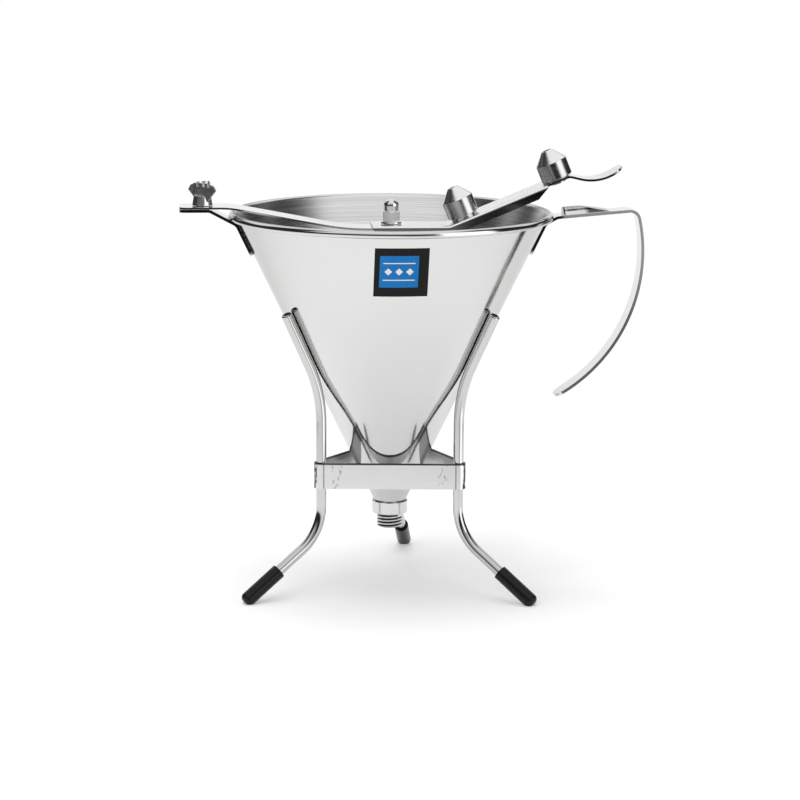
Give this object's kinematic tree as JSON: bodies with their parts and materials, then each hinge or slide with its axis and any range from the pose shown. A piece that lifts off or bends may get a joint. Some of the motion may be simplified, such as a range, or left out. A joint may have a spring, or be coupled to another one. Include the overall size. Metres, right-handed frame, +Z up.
{
  "type": "confectionery funnel",
  "caption": "Steel confectionery funnel with a sprung lever valve, hook handle and spare screw-on nozzles, resting in a bent-rod stand with capped feet.",
  "frame": {"origin": "on the floor, under the outlet and midway between the feet", "axes": "+Z up along the funnel's axis, +X towards the handle, -Y towards the front"},
  "size_m": [0.2809, 0.1985, 0.2696],
  "materials": {
    "polished_steel": "polished",
    "satin_steel": "satin",
    "turned_steel": "turned",
    "black_vinyl": "gloss",
    "label_film": "satin"
  },
  "bodies": {
    "stand": {"stand_band": "satin_steel", "leg_left": "polished_steel", "leg_right": "polished_steel", "leg_rear": "polished_steel", "foot_cap_left": "black_vinyl", "foot_cap_right": "black_vinyl", "foot_cap_rear": "black_vinyl"},
    "funnel": {"funnel_cone": "polished_steel", "outlet_spigot": "turned_steel", "spring_bracket": "satin_steel", "clamp_stud": "turned_steel", "handle": "polished_steel", "blank_label": "label_film"},
    "lever": {"lever_channel": "satin_steel", "leaf_spring": "satin_steel", "nozzle_stud_inner": "turned_steel", "nozzle_stud_outer": "turned_steel"},
    "plunger": {"plunger_rod": "polished_steel", "valve_plug": "turned_steel", "cap_nut": "polished_steel", "cap_washer": "polished_steel", "lock_nut": "polished_steel"},
    "wing_nut": {"wing_nut": "turned_steel"},
    "nozzle_inner": {"nozzle_inner": "turned_steel"},
    "nozzle_outer": {"nozzle_outer": "turned_steel"}
  },
  "joints": [
    {"name": "funnel_lift", "type": "slide", "parent": "stand", "child": "funnel", "axis": [0, 0, 1], "range_m": [0, 0.16]},
    {"name": "lever_lift", "type": "hinge", "parent": "funnel", "child": "lever", "pos_m": [-0.061, 0, 0.228], "axis": [0, -1, 0], "range_deg": [0, 7], "stiffness_Nm_per_rad": 3, "springref_deg": -5.73, "deforming": ["leaf_spring"]},
    {"name": "plunger_lift", "type": "slide", "parent": "funnel", "child": "plunger", "axis": [0, 0, 1], "range_m": [0, 0.009]},
    {"name": "wing_nut_turn", "type": "hinge", "parent": "funnel", "child": "wing_nut", "pos_m": [-0.1136, 0, 0.2365], "axis": [0, 0, 1], "continuous": true},
    {"name": "nozzle_inner_off", "type": "slide", "parent": "lever", "child": "nozzle_inner", "axis": [-0.3827, 0, 0.9239], "range_m": [0, 0.03]},
    {"name": "nozzle_outer_off", "type": "slide", "parent": "lever", "child": "nozzle_outer", "axis": [-0.3827, 0, 0.9239], "range_m": [0, 0.03]}
  ],
  "couplings": [
    {"joint": "plunger_lift", "follows": "lever_lift", "m_per_rad": 0.067}
  ]
}
